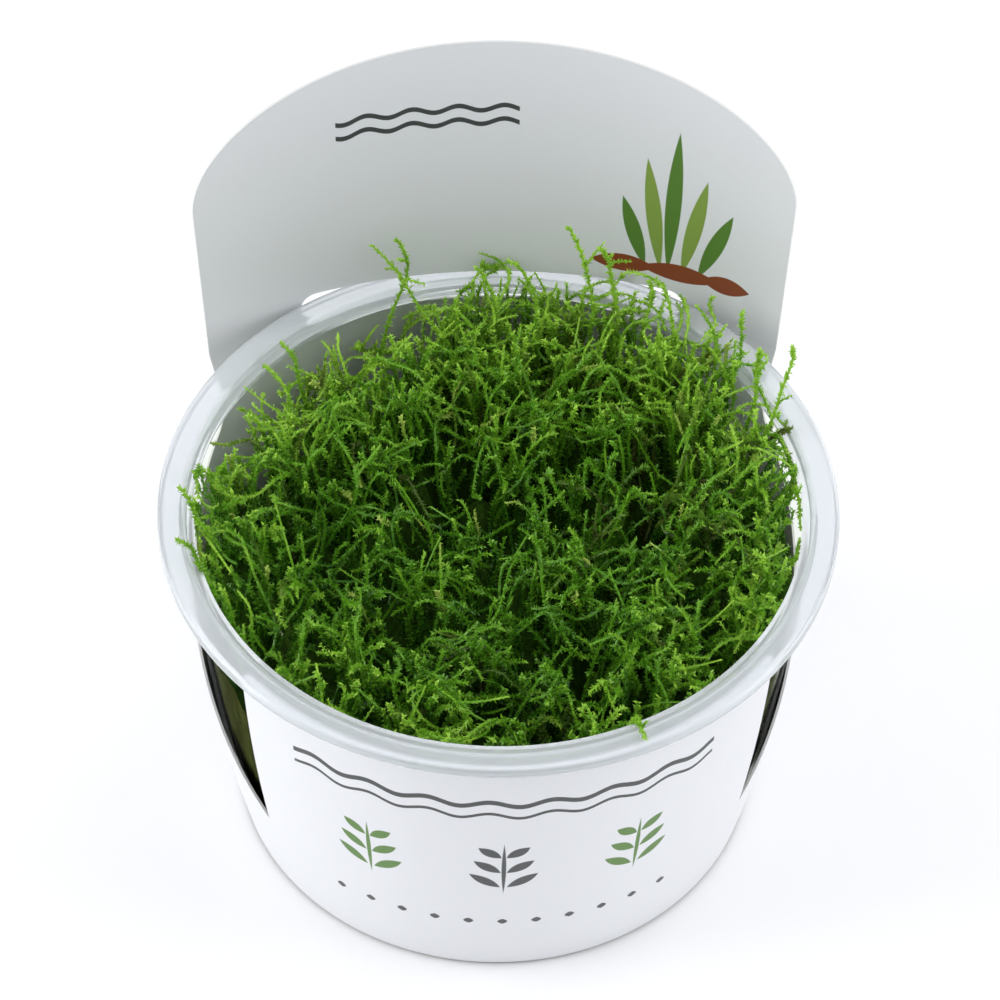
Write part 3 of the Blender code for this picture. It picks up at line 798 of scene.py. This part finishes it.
def stem_arrays(routes, side, radius):
    """Return corners, faces and shares of three-sided stems that thin out to their tips."""
    count, points = routes.shape[:2]
    forward = unit(np.gradient(routes, axis=1))
    first = unit(np.cross(forward, side[:, None, :]))
    second = np.cross(forward, first)
    thin = radius[:, None] * (1.0 - STEM_TAPER * np.linspace(0.0, 1.0, points) ** 2)
    rings = []
    for corner in range(3):
        angle = 2.0 * math.pi * corner / 3.0
        rings.append(routes + thin[..., None] * (math.cos(angle) * first + math.sin(angle) * second))
    corners = np.stack(rings, axis=2).reshape(-1, 3)
    base = (np.arange(count) * points * 3)[:, None, None]
    ring = (np.arange(points - 1) * 3)[None, :, None]
    corner = np.arange(3)[None, None, :]
    following = (corner + 1) % 3
    low = base + ring
    quads = np.stack(np.broadcast_arrays(low + corner, low + following, low + 3 + following,
                                         low + 3 + corner), axis=-1).reshape(-1, 4)
    triangles = np.concatenate([quads[:, [0, 1, 2]], quads[:, [0, 2, 3]]])
    ends = base[:, 0, :] + np.array([[0, 2, 1]])
    tips = base[:, 0, :] + (points - 1) * 3 + np.array([[0, 1, 2]])
    share = np.repeat(np.tile(np.linspace(0.0, 1.0, points), count), 3)
    return corners, np.concatenate([triangles, ends, tips]), share


def leaf_arrays(routes, side, leaves, bare_foot, size):
    """Return corners, faces and shares of the leaves, thin folded solids of four faces."""
    count = len(routes)
    share = bare_foot + (0.995 - bare_foot) * (np.arange(leaves) + 0.5) / leaves
    share = np.clip(share + rng.uniform(-0.3, 0.3, (count, leaves)) / leaves, 0.0, 1.0)
    place, forward = read_routes(routes, share)
    first = unit(np.cross(forward, side[:, None, :]))
    second = np.cross(forward, first)
    turn = np.pi * np.arange(leaves) + 0.5 * np.sin(1.9 * np.arange(leaves))
    turn = turn + rng.uniform(-1.2, 1.2, (count, leaves))
    outward = np.cos(turn)[..., None] * first + np.sin(turn)[..., None] * second
    sideways = np.cross(forward, outward)
    lean = np.radians(rng.uniform(*LEAF_LEANS, (count, leaves)))[..., None]
    pointing = np.cos(lean) * forward + np.sin(lean) * outward
    facing = np.cross(pointing, sideways)
    length = size[:, None, None] * LEAF_LENGTH * rng.uniform(0.75, 1.25, (count, leaves))[..., None]
    length = length * (1.0 - 0.2 * share[..., None] ** 6)
    width = length * (LEAF_WIDTH / LEAF_LENGTH)
    middle = place + LEAF_WIDEST * length * pointing + LEAF_FOLD * width * facing
    tip = place + length * pointing - LEAF_CURL * length * facing
    corners = np.stack([place, middle + 0.5 * width * sideways, middle - 0.5 * width * sideways,
                        tip], axis=2).reshape(-1, 3)
    base = (np.arange(count * leaves) * 4)[:, None]
    faces = np.concatenate([base + np.array([[0, 1, 3]]), base + np.array([[0, 3, 2]]),
                            base + np.array([[0, 2, 1]]), base + np.array([[1, 2, 3]])])
    return corners, faces, np.repeat(share.reshape(-1), 4)


def freshness_and_painted_light(corners, share, chance):
    """Return the strands' green level: darker deep down for older leaves and painted shade, young at the
    tips, and painted light by the rim and at the back.
    """
    ground = moss_ground(corners[:, 0], corners[:, 1], 0.7, 0.3)
    # Partly older leaves, partly painted shade: darker deep in the clump.
    depth = np.clip((ground + 2.0 - corners[:, 2]) / 15.0, 0.0, 1.0)
    # Painted light: lighter out by the rim and at the back.
    rim = smooth_step(np.hypot(corners[:, 0], corners[:, 1]), 24.0, 43.0)
    back = smooth_step(corners[:, 1], 0.0, 36.0)
    return (FRESH_MEAN - DEPTH_AGE_AND_SHADE * depth + RIM_PAINTED_LIGHT * rim + BACK_PAINTED_LIGHT * back
            + TIP_FRESH * share ** 5 + FRESH_SPREAD * (chance - 0.5))


def add_strands(store, routes, leaves, radius, size, age, bare_foot):
    """Put strands in a store of arrays: their shapes, and each corner's values for the colour."""
    radius, size, age = (np.broadcast_to(given, len(routes)) for given in (radius, size, age))
    side = unit(rng.normal(size=(len(routes), 3)) * np.array([1.0, 1.0, 0.25]))
    chance = rng.random(len(routes))
    pale = rng.random(len(routes)) < PALE_SHARE
    for corners, faces, share in (stem_arrays(routes, side, radius),
                                  leaf_arrays(routes, side, leaves, bare_foot, size)):
        per_strand = len(corners) // len(routes)
        store["faces"].append(faces + store["count"])
        store["corners"].append(corners)
        # A random tone for each leaf, which also stands in for painted glints.
        speckle_and_glint = rng.uniform(-SPECKLE_AND_GLINT, SPECKLE_AND_GLINT, len(corners) // 4 + 1)
        own_chance = np.repeat(chance, per_strand) + np.repeat(speckle_and_glint, 4)[:len(corners)]
        store["fresh_and_lit"].append(freshness_and_painted_light(corners, share, own_chance))
        store["age"].append(np.repeat(age, per_strand) * (1.0 - 0.6 * share))
        store["straw"].append(np.repeat(pale, per_strand) * smooth_step(share, 0.7, 0.95))
        store["count"] += len(corners)


def new_store():
    """Return an empty store of strand arrays."""
    return {"corners": [], "faces": [], "count": 0} | {key: [] for key in STRAND_VALUES}


def moss_piece(name, store, material):
    """Join a store of strands as one mesh with its colour values, and return the piece."""
    corners = np.concatenate(store["corners"]) * MM
    faces = np.concatenate(store["faces"])
    mesh = bpy.data.meshes.new(name)
    mesh.from_pydata(corners.tolist(), [], faces.tolist())
    for key in STRAND_VALUES:
        values = mesh.attributes.new(key, "FLOAT", "POINT")
        values.data.foreach_set("value", np.concatenate(store[key]).astype(np.float32))
    mesh.materials.append(material)
    piece = new_object(name, mesh)
    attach(piece, "root")
    return piece


def scattered(count, outer_radius):
    """Return places over the cup's mouth, drawn together in bunches, with fewer in the hollows."""
    tries = 5 * count
    angle = rng.uniform(0.0, 2.0 * np.pi, tries)
    radius = outer_radius * rng.random(tries) ** MIDDLE_POWER
    x = radius * np.cos(angle)
    y = radius * np.sin(angle)
    sunk = np.clip(mound(x, y, HOLLOWS, 1.0) / 8.0, 0.0, 1.0)
    wanted = (0.7 + 0.3 * smooth_step(y, 5.0, 35.0)) * (1.0 - 0.82 * sunk)
    wanted = wanted * (1.0 - 0.75 * np.sqrt(bare_share(x, y)))
    kept = np.flatnonzero(rng.random(tries) < wanted)[:count]
    x, y = x[kept], y[kept]
    middles = np.stack([x[:BUNCH_COUNT], y[:BUNCH_COUNT]], axis=1)
    apart = np.hypot(x[:, None] - middles[:, 0], y[:, None] - middles[:, 1])
    nearest = middles[apart.argmin(axis=1)]
    return x + BUNCH_PULL * (nearest[:, 0] - x), y + BUNCH_PULL * (nearest[:, 1] - y)


def grown_routes(x, y, top, lean, length, hook, points):
    """Return strands grown step by step from their leans, swaying slowly and hooked at the tip.

    Each passes its own place at two thirds of its length, and its highest point is at its top.
    """
    count = len(x)
    share = np.linspace(0.0, 1.0, points)[None, :, None]
    sway = rng.uniform(0.06, 0.32, (count, 1, 2))
    sway = sway * np.sin(rng.uniform(4.0, 12.0, (count, 1, 2)) * share
                         + rng.uniform(0.0, 2.0 * np.pi, (count, 1, 2)))
    way = rng.uniform(0.0, 2.0 * np.pi, count)
    hooked = (hook[:, None] * np.stack([np.cos(way), np.sin(way)], axis=1))[:, None, :] * share ** 4
    kinks = rng.normal(0.0, 0.09, (count, points, 2))
    tilt = lean[:, None, :] + sway + hooked + kinks
    angle = np.linalg.norm(tilt, axis=-1, keepdims=True)
    across = np.sin(angle) * tilt / np.maximum(angle, 1e-6)
    steps = np.concatenate([across, np.cos(angle)], axis=-1) * (length / (points - 1))[:, None, None]
    routes = np.cumsum(steps, axis=1)
    middle = routes[:, (2 * points) // 3]
    routes[..., :2] += (np.stack([x, y], axis=1) - middle[:, :2])[:, None]
    routes[..., 2] += (top - routes[..., 2].max(axis=1))[:, None]
    return keep_inside(routes)


def upright_routes(count, points, lowest, length):
    """Return strands that stand side by side, fan out towards the rim and hook over at the tip.

    The tips end up to so many millimetres under the clump's surface.
    """
    x, y = scattered(count, MOSS_RADIUS - 0.6)
    count = len(x)
    reach = np.hypot(x, y) / MOSS_RADIUS
    outward = np.stack([x, y], axis=1) * (reach / MOSS_RADIUS)[:, None]
    flow = np.stack([np.sin(0.13 * x + 0.08 * y), np.cos(0.11 * y - 0.07 * x)], axis=1)
    lean = FAN_LEAN * outward + FLOW_LEAN * flow + rng.normal(0.0, 0.045, (count, 2))
    top = moss_ground(x, y, 1.0, 1.0) + TIP_RISE - rng.uniform(0.0, 1.0, count) ** 1.4 * lowest
    hook = np.minimum(rng.gamma(1.0, 0.75, count), 2.4) * (1.0 - 0.5 * smooth_step(y, 5.0, 30.0))
    return grown_routes(x, y, top, lean, rng.uniform(0.9, 1.1, count) * length, hook, points)


def tangled_routes(count, points):
    """Return routes that leave the tufts and lie over them, and over the hollows, in long arches."""
    x, y = scattered(count, MOSS_RADIUS - 3.0)
    count = len(x)
    share = np.linspace(0.0, 1.0, points)[None, :]
    bend = rng.normal(0.0, 1.6, (count, 1)) * share
    sway = rng.uniform(0.1, 0.6, (count, 1)) * np.sin(rng.uniform(4.0, 12.0, (count, 1)) * share
                                                     + rng.uniform(0.0, 6.28, (count, 1)))
    heading = rng.uniform(0.0, 2.0 * np.pi, (count, 1)) + bend + sway
    length = rng.uniform(11.0, 24.0, count)[:, None]
    routes = np.empty((count, points, 3))
    routes[..., 0] = x[:, None] + np.cumsum(np.cos(heading), axis=1) * length / points
    routes[..., 1] = y[:, None] + np.cumsum(np.sin(heading), axis=1) * length / points
    ground = moss_ground(routes[..., 0], routes[..., 1], 0.55, 0.5)
    lift = rng.uniform(-1.8, 2.8, count)[:, None]
    sunk = rng.uniform(5.0, 11.0, count)[:, None] * (1.0 - smooth_step(share, 0.0, 0.5))
    wiggle = np.cumsum(rng.normal(0.0, 0.10, (count, points)), axis=1)
    routes[..., 2] = ground + lift * np.sin(np.pi * np.clip(share, 0.0, 0.9)) - sunk + wiggle
    return keep_inside(routes)


def branch_routes(parents, count, reach):
    """Return short side branches that leave strands at a slant and curve upwards or over."""
    strand = rng.integers(0, len(parents), count)
    share = rng.uniform(0.5, 0.95, (count, 1))
    place, forward = read_routes(parents[strand], share)
    place, forward = place[:, 0], forward[:, 0]
    outward = unit(np.cross(forward, rng.normal(size=(count, 3))))
    lean = np.radians(rng.uniform(30.0, 65.0, count))[:, None]
    length = rng.uniform(*reach, count)[:, None, None]
    along = np.linspace(0.0, 1.0, 6)[None, :, None]
    start = (np.cos(lean) * forward + np.sin(lean) * outward)[:, None, :]
    bend = rng.normal(0.0, 0.45, (count, 1, 3)) + np.array([0.0, 0.0, 0.2])
    return keep_inside(place[:, None, :] + length * (along * start + along ** 2 * bend))


def moss_leaf():
    """Return the strands' material: dark green below, partly painted shade, young yellow-green tips,
    painted light at the rim and back, wet gloss.
    """
    material, tree, shader = new_material("moss leaf", 0.36)
    values = {}
    for key in STRAND_VALUES:
        node = tree.nodes.new("ShaderNodeAttribute")
        node.attribute_name = key
        values[key] = node.outputs["Fac"]
    grain = add_grain(tree, shader, 260.0, 0.0)
    # The strand value carries painted light at the rim and back, and painted shade deep down.
    level = math_node(tree, "ADD", values["fresh_and_lit"],
                      math_node(tree, "MULTIPLY_ADD", grain, 0.4, -0.2))
    colour = colour_ramp(tree, level, LEAF_GREENS)
    colour = add_ink(tree, colour, values["age"], OLD_BROWN)
    colour = add_ink(tree, colour, values["straw"], PALE_STRAW)
    feed(tree, shader, {"Base Color": colour, "Specular IOR Level": 0.35})
    return material


leaf_finish = moss_leaf()


def old_share(routes):
    """Return how brown each strand is: some are old, most of them right of the middle."""
    foot = routes[:, 0]
    patch = np.exp(-((foot[:, :2] - OLD_PATCH) ** 2).sum(axis=1) / 110.0)
    old = rng.random(len(routes)) < 0.05 + 0.5 * patch
    return np.where(old, rng.uniform(0.5, 1.0, len(routes)), 0.0)


TALL_COUNT = 930
TALL_LENGTH = 21.0
SHORT_COUNT = 480
SHORT_LENGTH = 12.0
TANGLED_COUNT = 280
BRANCH_COUNT = 420
BRANCH_REACH = (2.5, 6.0)

tall = upright_routes(TALL_COUNT, 16, 4.0, TALL_LENGTH)
short = upright_routes(SHORT_COUNT, 10, 13.0, SHORT_LENGTH)
tangled = tangled_routes(TANGLED_COUNT, 16)
branches = branch_routes(np.concatenate([tall, tangled]), BRANCH_COUNT, BRANCH_REACH)
# Each group is a name, its strands, the leaves on each, and the share at the foot that is bare.
groups = [("moss_tall_%d" % (part + 1), tall[part::3], 132, 0.15) for part in range(3)]
groups += [("moss_short_%d" % (part + 1), short[part::2], 60, 0.2) for part in range(2)]
groups += [("moss_tangle", tangled, 112, 0.1), ("moss_branches", branches, 28, 0.0)]
for name, routes, leaves, bare_foot in groups:
    store = new_store()
    thickness = rng.uniform(0.85, 1.15, len(routes)) * (0.85 if routes is branches else 1.0)
    age = old_share(routes)
    add_strands(store, routes, leaves, STEM_RADIUS * thickness, thickness, age, bare_foot)
    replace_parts(moss_piece(name, store, leaf_finish), "moss_clump")


# The tall shoots
# Seventeen strands stand out of the clump far enough to show by themselves, against the header at
# the back and over the rim at the sides and the front. Each follows its own solid's curve.

SHOOTS = (
    ((-8.5, 35.5), (-15.5, 37.0, 70.5), (-20.0, 38.0, 76.5)),
    ((-19.0, 37.0), (-13.5, 42.0, 68.0), (-16.5, 42.0, 74.0)),
    ((-1.0, 37.0), (-1.5, 38.0, 67.5), (-4.0, 38.0, 72.0)),
    ((5.0, 37.0), (5.0, 38.5, 69.0), (1.0, 37.0, 74.5)),
    ((13.5, 36.0), (13.5, 36.5, 74.0), (9.5, 34.0, 85.0)),
    ((17.5, 36.5), (17.0, 37.5, 73.5), (14.5, 35.0, 79.5)),
    ((20.5, 34.5), (23.5, 37.0, 66.5), (22.5, 38.0, 69.5)),
    ((27.0, 32.0), (25.0, 34.0, 74.0), (18.5, 34.0, 75.5)),
    ((33.0, 27.5), (32.5, 29.5, 68.0), (29.5, 30.5, 72.0)),
    ((34.5, 24.0), (36.5, 26.0, 70.5), (36.0, 25.0, 76.5)),
    ((37.5, 19.5), (38.8, 21.0, 68.5), (38.5, 20.0, 73.5)),
    ((38.5, 15.0), (44.0, 18.0, 71.0), (43.0, 17.0, 77.5)),
    ((-42.0, -6.0), (-45.0, -5.5, 66.0), (-46.8, -3.0, 66.2)),
    ((-41.5, -13.5), (-44.5, -13.5, 65.0), (-46.5, -12.0, 65.0)),
    ((-30.0, 26.0), (-32.0, 27.5, 63.0), (-33.5, 29.0, 64.0)),
    ((-31.5, 19.0), (-33.0, 22.0, 63.5), (-36.0, 24.0, 64.0)),
    ((19.0, -39.0), (19.8, -42.0, 64.2), (21.0, -46.0, 63.6)),
)
SHOOT_FOOT_HEIGHT = 52.0
SHOOT_WIGGLE = 0.35
SHOOT_POINTS = 22
SHOOT_LEAVES = 150
SHOOT_RADIUS = 0.26
SHOOT_LEAF_SIZE = 1.1
TWIG_COUNT = 26
TWIG_REACH = (1.0, 3.0)
TWIG_LEAVES = 14
TWIG_RADIUS = 0.2
TWIG_LEAF_SIZE = 0.9


def curve_through(start, bend, tip, share):
    """Return points on a smooth curve that leaves the start upwards and passes near the bend."""
    rise = np.array((start[0], start[1], start[2] + 0.45 * (bend[2] - start[2])))
    pull = bend * 1.5 - start * 0.1 - tip * 0.4
    share = share[:, None]
    rest = 1.0 - share
    return (start * rest ** 3 + rise * 3.0 * rest ** 2 * share + pull * 3.0 * rest * share ** 2
            + tip * share ** 3)


def shoot_routes():
    """Return the shoots' routes, each with the small kinks of a grown stem."""
    routes = []
    share = np.linspace(0.0, 1.0, SHOOT_POINTS)
    for number, (root, bend, tip) in enumerate(SHOOTS):
        start = np.array((*root, SHOOT_FOOT_HEIGHT))
        route = curve_through(start, np.array(bend), np.array(tip), share)
        kink = SHOOT_WIGGLE * np.sin(9.0 * share + number) * np.sin(np.pi * share)
        route[:, 0] += kink
        route[:, 1] += 0.6 * kink * math.cos(number)
        routes.append(route)
    return np.array(routes)


shoots = shoot_routes()
store = new_store()
add_strands(store, shoots, SHOOT_LEAVES, SHOOT_RADIUS, SHOOT_LEAF_SIZE, age=0.0, bare_foot=0.0)
twigs = branch_routes(shoots, TWIG_COUNT, TWIG_REACH)
add_strands(store, twigs, TWIG_LEAVES, TWIG_RADIUS, TWIG_LEAF_SIZE, age=0.0, bare_foot=0.0)
shoot_piece = moss_piece("moss_tall_shoots", store, leaf_finish)
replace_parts(shoot_piece, *["moss_shoot_%02d" % number for number in range(1, len(SHOOTS) + 1)])


# The studio
# A plain pale floor and four soft lights: a wide one overhead, a strong one at the left, a weaker one
# at the right and a faint one behind. The camera looks down at the front, as the photo's did.

LIGHTS = (
    ("overhead light", (0.05, -0.08, 0.75), 0.7, 1.85),
    ("left light", (-0.70, -0.06, 0.30), 0.45, 2.9),
    ("right light", (0.70, -0.06, 0.30), 0.45, 1.7),
    ("back light", (0.60, 0.55, 0.28), 0.4, 1.1),
)
LIGHT_AIM = Vector((0.0, 0.0, 0.05))
FLOOR_RADIUS = 6.0
FLOOR_WHITE = (0.97, 0.97, 0.975, 1.0)
WORLD_WHITE = (0.56, 0.57, 0.59, 1.0)


def make_floor():
    """Lay the floor that the cup stands on."""
    material, tree, shader = new_material("floor paper", 0.9)
    feed(tree, shader, {"Base Color": FLOOR_WHITE})
    shape = bmesh.new()
    bmesh.ops.create_circle(shape, cap_ends=True, segments=96, radius=FLOOR_RADIUS)
    mesh = finished_mesh("floor", shape)
    mesh.materials.append(material)
    floor = new_object("floor", mesh)


def add_softbox(name, place, size, power):
    """Hang a square soft light that faces the middle of the cup, in metres and watts."""
    data = bpy.data.lights.new(name, "AREA")
    data.shape = "SQUARE"
    data.size = size
    data.energy = power
    light = new_object(name, data)
    light.location = place
    light.rotation_euler = (LIGHT_AIM - light.location).to_track_quat("-Z", "Y").to_euler()


CAMERA_DISTANCE = 560.0
CAMERA_TILT = 0.8448
CAMERA_AIM = Vector((0.1942, 0.0, 61.4329))
CAMERA_ROLL = 0.0166
CAMERA_LENS = 136.19


def add_camera():
    """Put the camera where the photograph was taken from, in front and looking down."""
    tilt = Matrix.Rotation(math.pi / 2.0 - CAMERA_TILT, 4, "X")
    place = CAMERA_AIM + tilt @ Vector((0.0, 0.0, CAMERA_DISTANCE))
    data = bpy.data.cameras.new("camera")
    data.lens = CAMERA_LENS
    data.sensor_width = 36.0
    camera = new_object("camera", data)
    camera.matrix_world = Matrix.Translation(place * MM) @ tilt @ Matrix.Rotation(CAMERA_ROLL, 4, "Z")
    bpy.context.scene.camera = camera


make_floor()
for light in LIGHTS:
    add_softbox(*light)
add_camera()
world = bpy.data.worlds.new("studio air")
world.use_nodes = True
feed(world.node_tree, world.node_tree.nodes["Background"], {"Color": WORLD_WHITE})
bpy.context.scene.world = world
bpy.context.scene.view_settings.view_transform = "Standard"
